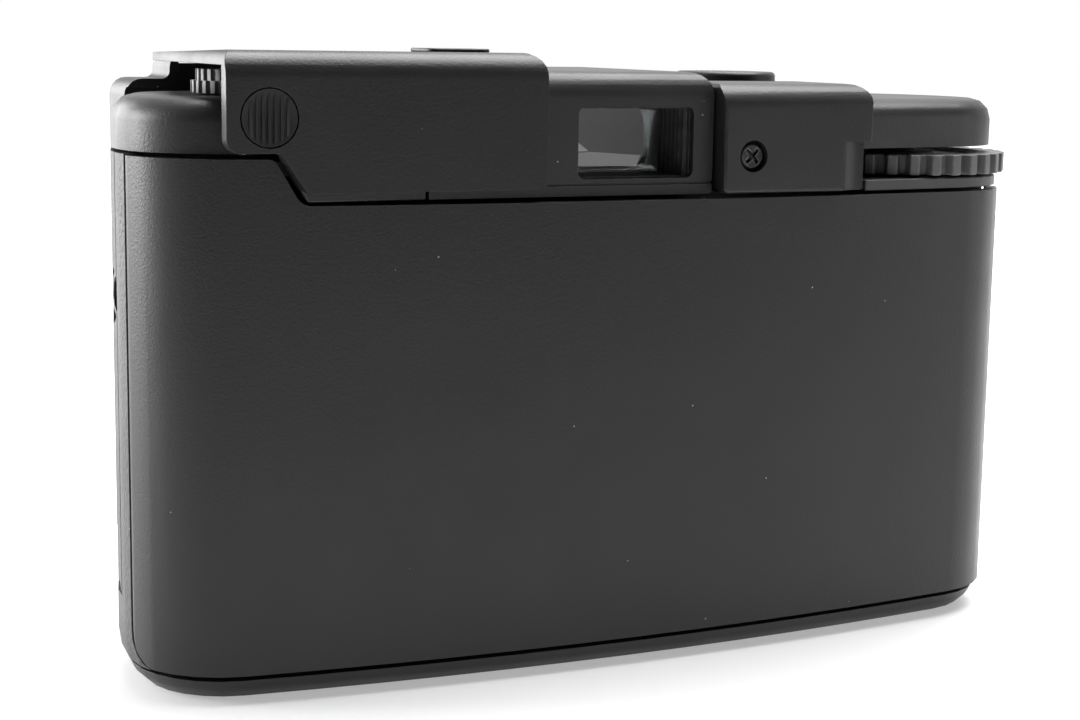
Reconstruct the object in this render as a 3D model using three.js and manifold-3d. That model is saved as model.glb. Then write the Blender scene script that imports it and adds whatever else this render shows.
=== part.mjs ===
// A compact 35 mm rangefinder camera with a sliding clamshell cover, shown with the cover open.
// Millimetres. +X is the photographer's right, +Y is forward (the way the lens points), +Z is up.
// The origin is on the underside of the base plate.
import * as THREE from "three";
import { mergeVertices } from "three/addons/utils/BufferGeometryUtils.js";
import Module from "manifold-3d";

const wasm = await Module();
wasm.setup();

// ---------------------------------------------------------------- driving dimensions

const GAP = 0.3; // between neighbouring pieces
const FAR = 80; // past the whole camera, for cutting tools

const HALF_WIDTH = 50.6; // of the back door and the body
const REAR_Y = -15.7; // middle of the back door's outer face
const REAR_BOW = 3.7; // how far that face falls back towards its ends
const REAR_CORNER = 10.5; // upright corner radius, rear
const FRONT_Y = 15.2; // front face of the body
const FRONT_CORNER_X = 12; // the front corners are quarter ellipses of these half axes
const FRONT_CORNER_Y = 17.6;

const FOOT_RISE = 5; // the lower edge of the base and casting rounds over this height
const FOOT_INSET = 3.5; // and this far in
const BASE_TOP = 2.4;
const FRAME_BOTTOM = BASE_TOP + GAP;
const DOOR_BOTTOM = 3;
const DOOR_TOP = 48.6;
const DOOR_HIGH_TOP = 53; // over the cartridge chamber
const DOOR_STEP_X = [-38.4, -35.85]; // top and foot of the slanted step
const DOOR_WALL = 1.2;
const DOOR_EDGE_Y = -4.6; // where the door's left end stops on the side
const DOOR_CORNER = 3.5;
const SHELL_TOP = 53.1;
const COVER_BOTTOM = 53.4; // top cover
const COVER_TOP = 58.6;
const COVER_SETBACK = 1.45; // the top cover's rear face lies this far in front of the door's
const COVER_EDGE = 2.3;

const SEAM_Y = -0.75; // seam between the casting's side strip and the front shell
const SEAM_FOOT = 8.8; // top of the casting's lower band
const SHELL_WALL = 1.4; // casting and front shell
const FRAME_INSET = SHELL_WALL + GAP; // floor and ceilings, from the body outline

const LENS = { x: -1.5, z: 27.5 };
const FILM_PLANE_Y = -11.5;
const GATE_SIZE = { x: 36, z: 24 };
const CARTRIDGE = { x: -36.2, y: 0.3, r: 12.6, wall: 0.6 };
const SPOOL = { x: 39.3, y: -1.1, shaft: 2.4 };
const SPROCKET = { x: 23.4, y: -5.2, r: 5.9, shaft: 1.6 };
const GEAR_Z = [54.2, 55.5];

const WHEEL = { r: 12.73, root: 11.55, teeth: 32, z: [50.4, 52.6] };
const DECK_Z = [48.95, 50.1];

const ROLLED_EDGE = 2.6; // the rear upper edges of the housing, the end block and the sliding cover
const TRACK_REAR = -14.1; // rear face of the housing and fascia that the sliding cover runs over
const FASCIA_FRONT = -12.7;
const HOUSING = { x: [-23.1, 8.3], y: [TRACK_REAR, 13.3], z: [49, 61.4] };
const EYEPIECE = { x: [-7.1, 6.0], z: [50.7, 57.9] };
const BLOCK = { x: [8.67, 26.8], y: [-15.9, -11.6], z: [49.1, 60.3] };
const BLOCK_SCREW = { x: 12.17, z: 52.9, head: 1.42, bore: 1.65 };

const SLIDE = { x: [-43.74, -11.27], rear: -15.9, legWall: 1.5, top: 63.2, frontTop: 62.5, under: 61.75, bottom: 49.9 };
const SLIDE_SEAM_Y = 14.6; // where the bridge ends and the front plate begins
const PLATE = { left: -45.6, front: 23.4, wall: 1.5, bottom: 9.6, shoulder: 59.8, stepX: -40.9, stepWall: 1 };
const THUMB_DISC = { x: -39.6, z: 56.96, r: 2.7 };

const HINGE = { x: 49.5, y: -5.2, knuckle: 1, bore: 0.75, pin: 0.5 };
const RELEASE = { x: 20.3, y: 4.5, r: 5.6, top: 61.2 };
const BATTERY = { x: 22, y: 7.2, r: 5.8 };
const TRIPOD = { x: 10, y: 4, r: 4.4 };
const REWIND_RELEASE = { x: 31, y: 9.4, r: 1.9 };
const LUG = { y: 1.9, z: 38.9, r: 2.6 };
const COUNTER = { x: 38.5, y: 7, r: 4.4 };

// ---------------------------------------------------------------- outlines

// A closed outline through [x, y, corner radius] points, with true arcs at the rounded corners.
function outline(points, arcSteps = 5) {
  const corners = points.map(([x, y, r = 0]) => ({ at: new THREE.Vector2(x, y), r }));
  const path = [];
  corners.forEach(({ at, r }, i) => {
    const before = corners[(i + corners.length - 1) % corners.length].at;
    const after = corners[(i + 1) % corners.length].at;
    if (r === 0) {
      path.push(at);
      return;
    }
    const inward = before.clone().sub(at).normalize();
    const outward = after.clone().sub(at).normalize();
    const half = Math.acos(THREE.MathUtils.clamp(inward.dot(outward), -1, 1)) / 2;
    const centre = inward.clone().add(outward).normalize().multiplyScalar(r / Math.sin(half)).add(at);
    const start = inward.multiplyScalar(r / Math.tan(half)).add(at).sub(centre);
    const end = outward.multiplyScalar(r / Math.tan(half)).add(at).sub(centre);
    const sweep = Math.atan2(start.cross(end), start.dot(end));
    for (let step = 0; step <= arcSteps; step++) {
      const turned = start.clone().rotateAround(new THREE.Vector2(), (sweep * step) / arcSteps);
      path.push(turned.add(centre));
    }
  });
  return new THREE.Shape(path);
}

function rectangle([x0, x1], [y0, y1], r = 0) {
  return outline([[x0, y0, r], [x1, y0, r], [x1, y1, r], [x0, y1, r]]);
}

// Points of an ellipse arc, both ends included.
function arcPoints(cx, cy, rx, ry, from, to, steps) {
  return Array.from({ length: steps + 1 }, (_, i) => {
    const angle = from + ((to - from) * i) / steps;
    return new THREE.Vector2(cx + rx * Math.cos(angle), cy + ry * Math.sin(angle));
  });
}

// The camera's outline seen from above: a bowed rear, round rear corners and long elliptical front corners.
function bodyOutline(inset, setback = 0) {
  const bowRadius = HALF_WIDTH ** 2 / (2 * REAR_BOW);
  const bowCentre = REAR_Y + setback + bowRadius;
  const cornerX = HALF_WIDTH - REAR_CORNER;
  const cornerY = bowCentre - Math.sqrt((bowRadius - REAR_CORNER) ** 2 - cornerX ** 2);
  const lean = Math.asin(cornerX / (bowRadius - REAR_CORNER));
  const rear = -Math.PI / 2;
  const r = REAR_CORNER - inset;
  const ax = FRONT_CORNER_X - inset;
  const frontX = HALF_WIDTH - FRONT_CORNER_X;
  const frontY = Math.max(FRONT_Y - FRONT_CORNER_Y, cornerY + 1);
  const ay = FRONT_Y - frontY - inset;
  const bow = bowRadius - inset;
  return new THREE.Shape([
    ...arcPoints(0, bowCentre, bow, bow, rear - lean, rear + lean, 12).slice(0, -1),
    ...arcPoints(cornerX, cornerY, r, r, rear + lean, 0, 6),
    ...arcPoints(frontX, frontY, ax, ay, 0, Math.PI / 2, 7),
    ...arcPoints(-frontX, frontY, ax, ay, Math.PI / 2, Math.PI, 7),
    ...arcPoints(-cornerX, cornerY, r, r, Math.PI, 1.5 * Math.PI - lean, 6).slice(0, -1),
  ]);
}

// A ring of trapezoid teeth.
function toothed(teeth, root, tip, rootShare = 0.3, tipShare = 0.42) {
  const pitch = (2 * Math.PI) / teeth;
  const points = [];
  for (let tooth = 0; tooth < teeth; tooth++) {
    const middle = tooth * pitch;
    const foot = (pitch * (1 - rootShare)) / 2;
    const crown = (pitch * tipShare) / 2;
    for (const [radius, angle] of [[root, -foot], [tip, -crown], [tip, crown], [root, foot]]) {
      points.push(new THREE.Vector2(radius * Math.cos(middle + angle), radius * Math.sin(middle + angle)));
    }
  }
  return new THREE.Shape(points);
}

// ---------------------------------------------------------------- solids

// A closed geometry as a solid that can be joined and cut.
function solid(geometry) {
  const bare = geometry.clone();
  bare.deleteAttribute("normal");
  bare.deleteAttribute("uv");
  const merged = mergeVertices(bare, 1e-4);
  const triVerts = new Uint32Array(merged.index.array);
  const vertProperties = merged.attributes.position.array;
  return new wasm.Manifold(new wasm.Mesh({ numProp: 3, vertProperties, triVerts }));
}

function box([x0, x1], [y0, y1], [z0, z1]) {
  const geometry = new THREE.BoxGeometry(x1 - x0, y1 - y0, z1 - z0);
  return solid(geometry.translate((x0 + x1) / 2, (y0 + y1) / 2, (z0 + z1) / 2));
}

// An outline drawn in X and Y, from one height to another. The bevel rounds both ends, this high and this far in.
function upright(shape, [z0, z1], bevel = 0, bevelSteps = 3, bevelInset = bevel) {
  const geometry = new THREE.ExtrudeGeometry(shape, {
    depth: z1 - z0 - 2 * bevel,
    curveSegments: 12,
    bevelEnabled: bevel > 0,
    bevelThickness: bevel,
    bevelSize: bevelInset,
    bevelOffset: -bevelInset,
    bevelSegments: bevelSteps,
  });
  return solid(geometry.translate(0, 0, z0 + bevel));
}

// An outline drawn in X and Z, from one Y to another.
function frontward(shape, [y0, y1], bevel = 0, bevelSteps = 3) {
  return upright(shape, [-y1, -y0], bevel, bevelSteps).rotate([90, 0, 0]);
}

// An outline drawn in Y and Z, from one X to another.
function sideward(shape, [x0, x1]) {
  return upright(shape, [x0, x1]).rotate([90, 0, 90]);
}

// A closed [radius, height] profile turned about an upright axis.
function turned(profile, x, y, steps = 28) {
  const points = profile.map(([radius, height]) => new THREE.Vector2(radius, height));
  return solid(new THREE.LatheGeometry(points, steps).rotateX(Math.PI / 2)).translate([x, y, 0]);
}

// A closed [radius, y] profile turned about an axis along Y.
function turnedForward(profile, x, z, steps = 28) {
  const points = profile.map(([radius, height]) => new THREE.Vector2(radius, height));
  return solid(new THREE.LatheGeometry(points, steps)).translate([x, 0, z]);
}

function discProfile(r, [from, to]) {
  return [[0, from], [r, from], [r, to], [0, to]];
}

function ringProfile(inner, outer, [from, to]) {
  return [[inner, from], [outer, from], [outer, to], [inner, to], [inner, from]];
}

function post(r, z, x, y, steps = 20) {
  return turned(discProfile(r, z), x, y, steps);
}

function pinForward(r, y, x, z, steps = 20) {
  return turnedForward(discProfile(r, y), x, z, steps);
}

// ---------------------------------------------------------------- materials and the assembly

const FINISH = {
  shell: { color: 0x2b2b2d, roughness: 0.55, metalness: 0.1 },
  frame: { color: 0x1d1d1f, roughness: 0.7, metalness: 0.1 },
  rubber: { color: 0x151516, roughness: 0.8, metalness: 0 },
  steel: { color: 0xb9bcc0, roughness: 0.35, metalness: 0.9 },
  blackened: { color: 0x202123, roughness: 0.4, metalness: 0.7 },
  brass: { color: 0xb08d4a, roughness: 0.4, metalness: 0.9 },
  glass: { color: 0x6f7c86, roughness: 0.08, metalness: 0 },
  mirror: { color: 0xd8dde0, roughness: 0.05, metalness: 1 },
  board: { color: 0x2f5a3a, roughness: 0.6, metalness: 0 },
};

const camera = new THREE.Group();

// Adds a solid to the camera as a named mesh with flat shading normals.
function addPiece(name, shape, finish) {
  const mesh = shape.getMesh();
  const geometry = new THREE.BufferGeometry();
  const positions = new Float32Array(mesh.vertProperties);
  geometry.setAttribute("position", new THREE.BufferAttribute(positions, 3));
  geometry.setIndex(new THREE.BufferAttribute(new Uint32Array(mesh.triVerts), 1));
  geometry.computeVertexNormals();
  const piece = new THREE.Mesh(geometry, new THREE.MeshStandardMaterial(FINISH[finish]));
  piece.name = name;
  camera.add(piece);
}

// ---------------------------------------------------------------- base and frame

// The body's outer form, whose lower edge rounds under, between two heights.
function bodyForm(z) {
  const whole = upright(bodyOutline(0), [0, FAR], FOOT_RISE, 4, FOOT_INSET);
  return whole.intersect(box([-FAR, FAR], [-FAR, FAR], z));
}

function basePlate() {
  return bodyForm([-1, BASE_TOP])
    .subtract(post(BATTERY.r + 0.8, [-1, 4], BATTERY.x, BATTERY.y, 32))
    .subtract(post(TRIPOD.r + GAP, [-1, 4], TRIPOD.x, TRIPOD.y))
    .subtract(post(REWIND_RELEASE.r + GAP, [-1, 4], REWIND_RELEASE.x, REWIND_RELEASE.y));
}

function batteryCap() {
  const coinSlot = box([BATTERY.x - 4, BATTERY.x + 4], [BATTERY.y - 0.6, BATTERY.y + 0.6], [-1, 0.9]);
  return turned(discProfile(BATTERY.r + 0.5, [0.15, BASE_TOP - 0.1]), BATTERY.x, BATTERY.y).subtract(coinSlot);
}

function buttonCell([from, to]) {
  const r = BATTERY.r;
  const profile = [[0, from], [r - 1, from], [r - 1, from + 0.5], [r, from + 0.8], [r, to], [0, to]];
  return turned(profile, BATTERY.x, BATTERY.y, 24);
}

function tripodBush() {
  return turned(ringProfile(2.7, TRIPOD.r, [0.1, 5.2]), TRIPOD.x, TRIPOD.y, 24);
}

function rewindReleaseButton() {
  const profile = [[0, 0.5], [REWIND_RELEASE.r, 0.5], [REWIND_RELEASE.r, 3.2], [1, 3.2], [1, 4.6], [0, 4.6]];
  return turned(profile, REWIND_RELEASE.x, REWIND_RELEASE.y, 20);
}

// The Y and Z outline of everything the door covers, grown by a clearance.
function doorSide(clearance) {
  const front = DOOR_EDGE_Y + clearance;
  const bottom = DOOR_BOTTOM - clearance;
  return outline([[-FAR, bottom, 0], [front, bottom, DOOR_CORNER + clearance], [front, FAR, 0], [-FAR, FAR, 0]]);
}

// A wall of the body's form: its thickness and heights.
function bodyBand(wall, z) {
  return bodyForm(z).subtract(upright(bodyOutline(wall), [z[0] - 1, z[1] + 1]));
}

function bodyCasting() {
  const band = bodyBand(SHELL_WALL, [FRAME_BOTTOM, SHELL_TOP])
    .subtract(box([-FAR, 0], [-FAR, -12], [0, FAR]))
    .subtract(sideward(doorSide(0.5), [-FAR, 0]))
    .subtract(box([0, FAR], [-FAR, HINGE.y + 1.6], [0, FAR]))
    .subtract(box([-FAR, FAR], [SEAM_Y, FAR], [SEAM_FOOT, FAR]))
    .subtract(box([0, FAR], [-FAR, FAR], [DOOR_TOP, FAR]));
  return hingeKnuckles([[4, 11], [20, 31], [40, 46.9]], 1).reduce((sum, knuckle) => sum.add(knuckle), band)
    .subtract(post(HINGE.bore, [0, FAR], HINGE.x, HINGE.y));
}

// Barrel knuckles about the hinge axis, each with a web on one side (+1 forward, -1 rearward).
function hingeKnuckles(spans, side) {
  return spans.map((z) => {
    const barrel = post(HINGE.knuckle, z, HINGE.x, HINGE.y);
    const web = side > 0 ? [HINGE.y + 0.4, HINGE.y + 1.8] : [HINGE.y - 1.8, HINGE.y - 0.4];
    return barrel.add(box([HINGE.x - 1, HINGE.x + 0.2], web, z));
  });
}

function frontShell() {
  const scallop = turned(discProfile(26, [7.5, 15.5]), -HALF_WIDTH - 24.9, 7, 48);
  return bodyBand(SHELL_WALL, [SEAM_FOOT + GAP, SHELL_TOP])
    .subtract(box([-FAR, FAR], [-FAR, SEAM_Y + GAP], [0, FAR]))
    .subtract(turned(discProfile(WHEEL.r + 0.4, [DOOR_TOP, FAR]), SPOOL.x, SPOOL.y, 48))
    .subtract(pinForward(8.7, [0, FAR], LENS.x, LENS.z, 40))
    .subtract(box([13, 14], [0, FAR], [19, 34]))
    .subtract(pinForward(LUG.r + 0.2, [-FAR, 0], 0, 0, 28).rotate([0, 0, -90]).translate([0, LUG.y, LUG.z]))
    .subtract(scallop);
}

function strapLug() {
  const profile = [[0, 0.8], [LUG.r - 0.5, 0.8], [LUG.r - 0.5, 0.4], [LUG.r, 0.4], [LUG.r, 1.2], [0, 1.2]];
  const cup = turnedForward(profile, 0, 0, 28).rotate([0, 0, -90]);
  const bar = box([0.4, 0.9], [-0.45, 0.45], [-LUG.r + 0.2, LUG.r - 0.2]);
  return cup.add(bar).translate([-HALF_WIDTH + 0.45, LUG.y, LUG.z]);
}

function chassisFloor() {
  return upright(bodyOutline(FRAME_INSET), [FRAME_BOTTOM, FRAME_BOTTOM + 1.1])
    .subtract(post(BATTERY.r + GAP, [0, 6], BATTERY.x, BATTERY.y, 32))
    .subtract(post(TRIPOD.r + GAP, [0, 6], TRIPOD.x, TRIPOD.y))
    .subtract(post(REWIND_RELEASE.r + GAP, [0, 6], REWIND_RELEASE.x, REWIND_RELEASE.y));
}

function chassisCeiling() {
  return upright(bodyOutline(FRAME_INSET), [47.3, DOOR_TOP - 0.2])
    .subtract(box([-FAR, -22.3], [-FAR, FAR], [0, FAR]))
    .subtract(post(SPOOL.shaft + GAP, [40, 50], SPOOL.x, SPOOL.y))
    .subtract(post(SPROCKET.shaft + GAP, [40, 50], SPROCKET.x, SPROCKET.y));
}

function chamberCeiling() {
  return upright(bodyOutline(FRAME_INSET), [51.3, 52.7])
    .subtract(box([HOUSING.x[0] - GAP, FAR], [-FAR, FAR], [0, FAR]))
    .subtract(box([-FAR, FAR], [-FAR, FASCIA_FRONT + GAP], [0, FAR]))
    .subtract(post(2.4, [50, 54], CARTRIDGE.x, CARTRIDGE.y));
}

// An upright wall that follows part of a circle, cut away outside two angles in degrees.
function arcWall(x, y, inner, wall, z, from, to) {
  const opening = [new THREE.Vector2(x, y)];
  const turn = THREE.MathUtils.degToRad;
  opening.push(...arcPoints(x, y, 3 * inner, 3 * inner, turn(to), turn(from + 360), 8));
  const ring = turned(ringProfile(inner, inner + wall, z), x, y, 48);
  return ring.subtract(upright(new THREE.Shape(opening), [z[0] - 1, z[1] + 1]));
}

function cartridgeChamber() {
  return arcWall(CARTRIDGE.x, CARTRIDGE.y, CARTRIDGE.r, CARTRIDGE.wall, [4.1, 48.7], -50, 92);
}

function takeUpChamber() {
  return arcWall(SPOOL.x, SPOOL.y, 8.4, 0.7, [4.1, 47], -25, 205);
}

function filmGate() {
  const halfX = GATE_SIZE.x / 2;
  const halfZ = GATE_SIZE.z / 2;
  const plate = box([LENS.x - halfX - 2.3, LENS.x + halfX + 0.9], [FILM_PLANE_Y + 0.5, -9.4], [8, 47]);
  const rails = [LENS.z - halfZ - 1.6, LENS.z + halfZ + 0.6].map((foot) =>
    box([LENS.x - halfX - 2.3, LENS.x + halfX + 0.9], [FILM_PLANE_Y, FILM_PLANE_Y + 1], [foot, foot + 1]),
  );
  const window = box([LENS.x - halfX, LENS.x + halfX], [-FAR, 0], [LENS.z - halfZ, LENS.z + halfZ]);
  return plate.add(rails[0]).add(rails[1]).subtract(window);
}

// A four-sided frustum along Y whose cross section narrows from the rear size to the front one.
function frustum(rear, front, [y0, y1]) {
  const corner = Math.SQRT2;
  const geometry = new THREE.CylinderGeometry(front.x / 2 * corner, rear.x / 2 * corner, y1 - y0, 4);
  geometry.rotateY(Math.PI / 4).scale(1, 1, rear.z / rear.x);
  return solid(geometry.translate(LENS.x, (y0 + y1) / 2, LENS.z));
}

function lightTunnel() {
  const outer = frustum({ x: 38.4, z: 26.4 }, { x: 20.4 }, [-9.1, 8.4]);
  return outer.subtract(frustum({ x: 36.8, z: 25 }, { x: 18.4 }, [-9.2, 8.5]));
}

// ---------------------------------------------------------------- back door

function backDoor() {
  const face = outline([
    [-FAR, DOOR_BOTTOM, 0],
    [FAR, DOOR_BOTTOM, 0],
    [FAR, DOOR_TOP, 0],
    [DOOR_STEP_X[1], DOOR_TOP, 1.6],
    [DOOR_STEP_X[0], DOOR_HIGH_TOP, 1],
    [-FAR, DOOR_HIGH_TOP, 0],
  ]);
  const z = [DOOR_BOTTOM, DOOR_HIGH_TOP];
  const shell = upright(bodyOutline(0), z)
    .subtract(upright(bodyOutline(DOOR_WALL), [z[0] - 1, z[1] + 1]))
    .intersect(frontward(face, [-FAR, 0]))
    .subtract(box([-FAR, FAR], [DOOR_EDGE_Y, FAR], [0, FAR]))
    .subtract(box([0, FAR], [HINGE.y - 1.3, FAR], [0, FAR]));
  const roundedFoot = shell.intersect(sideward(doorSide(0), [-FAR, 0]));
  const plain = shell.intersect(box([0, FAR], [-FAR, FAR], [0, FAR]));
  return hingeKnuckles([[11.4, 19.6], [31.4, 39.6]], -1)
    .reduce((sum, knuckle) => sum.add(knuckle), roundedFoot.add(plain))
    .subtract(post(HINGE.bore, [0, FAR], HINGE.x, HINGE.y));
}

function pressurePlate() {
  const spanX = [LENS.x - 24, LENS.x + 22];
  return frontward(rectangle(spanX, [LENS.z - 17, LENS.z + 17], 2), [FILM_PLANE_Y - 1, FILM_PLANE_Y - GAP]);
}

// A bowed leaf between the door and the pressure plate.
function pressureSpring() {
  const bow = arcPoints(LENS.x, -72, 60, 59.2, 1.74, 1.4, 8);
  const back = arcPoints(LENS.x, -72, 59.7, 58.9, 1.4, 1.74, 8);
  return upright(new THREE.Shape([...bow, ...back]), [LENS.z - 4, LENS.z + 4]);
}

function doorSeal() {
  return upright(bodyOutline(DOOR_WALL + GAP), [10, 44])
    .subtract(upright(bodyOutline(DOOR_WALL + GAP + 1), [0, FAR]))
    .intersect(box([41.5, 46], [-FAR, -8], [0, FAR]));
}

// ---------------------------------------------------------------- top of the camera

function topCover() {
  const inset = 0.3;
  const shell = upright(bodyOutline(inset, COVER_SETBACK), [COVER_BOTTOM - 6, COVER_TOP], COVER_EDGE, 3)
    .subtract(box([-FAR, FAR], [-FAR, FAR], [0, COVER_BOTTOM]))
    .subtract(upright(bodyOutline(inset + 1.4, COVER_SETBACK), [COVER_BOTTOM - 1, COVER_TOP - 1.3]));
  return shell
    .subtract(box([HOUSING.x[0] - GAP, HOUSING.x[1] + GAP], [-FAR, HOUSING.y[1] + GAP], [0, FAR]))
    .subtract(box([BLOCK.x[0] - 0.4, BLOCK.x[1] + GAP], [-FAR, BLOCK.y[1] + GAP], [0, FAR]))
    .subtract(frontward(rectangle([-8, 7], [54, 58.2], 0.6), [0, FAR]))
    .subtract(frontward(rectangle([21, 27], [54.4, 57.4], 0.5), [0, FAR]))
    .subtract(pinForward(1.9, [0, FAR], 14.5, 56))
    .subtract(post(2, [0, FAR], RELEASE.x, RELEASE.y))
    .subtract(post(2.4, [0, FAR], CARTRIDGE.x, CARTRIDGE.y))
    .subtract(post(2.6, [0, FAR], COUNTER.x, COUNTER.y));
}

// Everything in front of a rear face and below a top, with the edge between them rolled over.
function rolledEdge(rear, top) {
  return sideward(outline([[rear, 0, 0], [FAR, 0, 0], [FAR, top, 0], [rear, top, ROLLED_EDGE]], 6), [-FAR, FAR]);
}

function viewfinderHousing() {
  const { x, y, z } = HOUSING;
  const face = outline([[x[0], z[0], 0], [x[1], z[0], 0.4], [x[1], z[1], 1.9], [x[0], z[1], 0]]);
  return frontward(face, y)
    .intersect(rolledEdge(y[0], z[1]))
    .subtract(frontward(rectangle(EYEPIECE.x, EYEPIECE.z, 0.75), [-FAR, FAR]))
    .subtract(box([x[0] + 1.4, EYEPIECE.x[0] - 1.4], [y[0] + 1.4, y[1] - 1.4], [0, z[1] - 1.4]))
    .subtract(box([0, FAR], [5, 11], [53.4, 57.6]))
    .subtract(box([-FAR, FAR], [-FAR, TRACK_REAR + 0.25], [50.05, 50.35]));
}

function rearFascia() {
  const face = outline([[-35.3, 48.95, 0], [-23.4, 48.95, 0], [-23.4, SHELL_TOP, 0], [-37.85, SHELL_TOP, 0]]);
  return frontward(face, [TRACK_REAR, FASCIA_FRONT]);
}

function endBlock() {
  const { x, y, z } = BLOCK;
  const face = outline([[x[0], z[0], 0.6], [x[1], z[0], 0.6], [x[1], z[1], 2], [x[0], z[1], 0.6]]);
  const scoop = turned(discProfile(3, [40, 54.3]), x[1] - 1, y[0] - 1.4, 32);
  const notch = scoop.add(box([x[1] - 0.2, FAR], [-FAR, FAR], [40, 54.3]));
  const ridge = box([x[0] + 0.5, x[1] - 2], [y[1] - 1, -3], [COVER_TOP + GAP, z[1]]);
  return frontward(face, y, 0.4, 2)
    .intersect(rolledEdge(y[0], z[1]))
    .add(ridge)
    .subtract(notch)
    .subtract(pinForward(BLOCK_SCREW.bore, [-FAR, y[0] + 1.4], BLOCK_SCREW.x, BLOCK_SCREW.z));
}

// A pan head with a cross recess, turned 45 degrees in its bore.
function blockScrew() {
  const face = BLOCK.y[0] + 0.35;
  const r = BLOCK_SCREW.head;
  const head = turnedForward([[0, face], [r - 0.25, face], [r, face + 0.25], [r, face + 0.9], [0, face + 0.9]], 0, 0);
  const arm = box([-0.95, 0.95], [face - 1, face + 0.6], [-0.2, 0.2]);
  const cross = arm.add(arm.rotate([0, 90, 0])).rotate([0, 45, 0]);
  return head.subtract(cross).translate([BLOCK_SCREW.x, 0, BLOCK_SCREW.z]);
}

function lowerDeck() {
  const underWheel = turned(discProfile(WHEEL.r, DECK_Z), SPOOL.x, SPOOL.y, 48);
  const rearStrip = box([BLOCK.x[1] + GAP, FAR], [-FAR, SPOOL.y - 3], DECK_Z);
  return upright(bodyOutline(0.35), DECK_Z)
    .intersect(underWheel.add(rearStrip))
    .subtract(box([-FAR, BLOCK.x[1] + GAP], [-FAR, FAR], [0, FAR]))
    .subtract(post(SPOOL.shaft + GAP, [40, 60], SPOOL.x, SPOOL.y));
}

function counterWindow() {
  return post(2.35, [COVER_TOP - 1.1, COVER_TOP - 0.1], COUNTER.x, COUNTER.y);
}

function counterDial() {
  return turned(ringProfile(0.6, COUNTER.r, [56.6, 57.2]), COUNTER.x, COUNTER.y, 28);
}

// ---------------------------------------------------------------- film transport

function thumbWheel() {
  const rim = upright(toothed(WHEEL.teeth, WHEEL.root, WHEEL.r), WHEEL.z).translate([SPOOL.x, SPOOL.y, 0]);
  const recess = turned(ringProfile(5, 9.8, [WHEEL.z[1] - 0.5, WHEEL.z[1] + 1]), SPOOL.x, SPOOL.y);
  return rim.subtract(recess).subtract(post(SPOOL.shaft + 0.25, [40, 60], SPOOL.x, SPOOL.y));
}

function takeUpSpool() {
  const core = 5.4;
  const flange = 7.8;
  const profile = [
    [0, 4.2], [flange, 4.2], [flange, 5], [core, 5], [core, 46.1], [flange, 46.1], [flange, 46.9],
    [SPOOL.shaft, 46.9], [SPOOL.shaft, 56.3], [0, 56.3],
  ];
  const filmSlot = box([-0.5, 0.5], [-FAR, -1.5], [10, 41]);
  return turned(profile, 0, 0, 28).subtract(filmSlot).translate([SPOOL.x, SPOOL.y, 0]);
}

function filmSprocket() {
  const drum = 5.1;
  const profile = [[0, 4.3], [drum, 4.3], [drum, 46.6], [SPROCKET.shaft, 46.6], [SPROCKET.shaft, 56.1], [0, 56.1]];
  const rows = [10.5, 43.3].map((z) => upright(toothed(8, drum - 0.5, SPROCKET.r, 0.84, 0.07), [z, z + 1.2]));
  return turned(profile, 0, 0, 24).add(rows[0]).add(rows[1]).translate([SPROCKET.x, SPROCKET.y, 0]);
}

// Three meshing gears: the spool's, the idler and the sprocket's.
const GEAR_MODULE = 0.7;
const SPOOL_TEETH = 18;
const IDLER_TEETH = 12;
const SPROCKET_TEETH = 14;

function pitchRadius(teeth) {
  return (GEAR_MODULE * teeth) / 2;
}

// The idler stands where its pitch circle touches both of the others.
function idlerCentre() {
  const toSpool = pitchRadius(SPOOL_TEETH + IDLER_TEETH);
  const toSprocket = pitchRadius(SPROCKET_TEETH + IDLER_TEETH);
  const span = Math.hypot(SPOOL.x - SPROCKET.x, SPOOL.y - SPROCKET.y);
  const along = (toSprocket ** 2 - toSpool ** 2 + span ** 2) / (2 * span);
  const aside = Math.sqrt(toSprocket ** 2 - along ** 2);
  const ux = (SPOOL.x - SPROCKET.x) / span;
  const uy = (SPOOL.y - SPROCKET.y) / span;
  return { x: SPROCKET.x + ux * along - uy * aside, y: SPROCKET.y + uy * along + ux * aside };
}

const IDLER = idlerCentre();

// A spur gear on a shaft; at rest the tooth or gap named by phase points towards a neighbour's centre.
function gear(teeth, at, neighbour, toothTowards, bore) {
  const r = pitchRadius(teeth);
  const shape = toothed(teeth, r - 1.15 * GEAR_MODULE, r + 0.7 * GEAR_MODULE, 0.34, 0.2);
  const direction = THREE.MathUtils.radToDeg(Math.atan2(neighbour.y - at.y, neighbour.x - at.x));
  const phase = toothTowards ? 0 : 180 / teeth;
  return upright(shape, GEAR_Z)
    .rotate([0, 0, direction + phase])
    .subtract(post(bore, [0, FAR], 0, 0, 20))
    .translate([at.x, at.y, 0]);
}

// The sprocket gear has a gap wherever the idler's nearest tooth points, found from the idler's own phase.
function sprocketGear() {
  const idlerToSpool = Math.atan2(SPOOL.y - IDLER.y, SPOOL.x - IDLER.x);
  const idlerToSprocket = Math.atan2(SPROCKET.y - IDLER.y, SPROCKET.x - IDLER.x);
  const idlerPitch = (2 * Math.PI) / IDLER_TEETH;
  const offTooth = ((idlerToSprocket - idlerToSpool) / idlerPitch) % 1;
  const sprocketPitch = 360 / SPROCKET_TEETH;
  return gear(SPROCKET_TEETH, { x: 0, y: 0 }, { x: IDLER.x - SPROCKET.x, y: IDLER.y - SPROCKET.y }, false, 1.85)
    .rotate([0, 0, offTooth * sprocketPitch])
    .translate([SPROCKET.x, SPROCKET.y, 0]);
}

function idlerGear() {
  const stub = post(1.4, [GEAR_Z[0] - 0.5, GEAR_Z[1] + 0.8], IDLER.x, IDLER.y, 20);
  return gear(IDLER_TEETH, IDLER, SPOOL, true, 0.9).add(stub);
}

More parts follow.
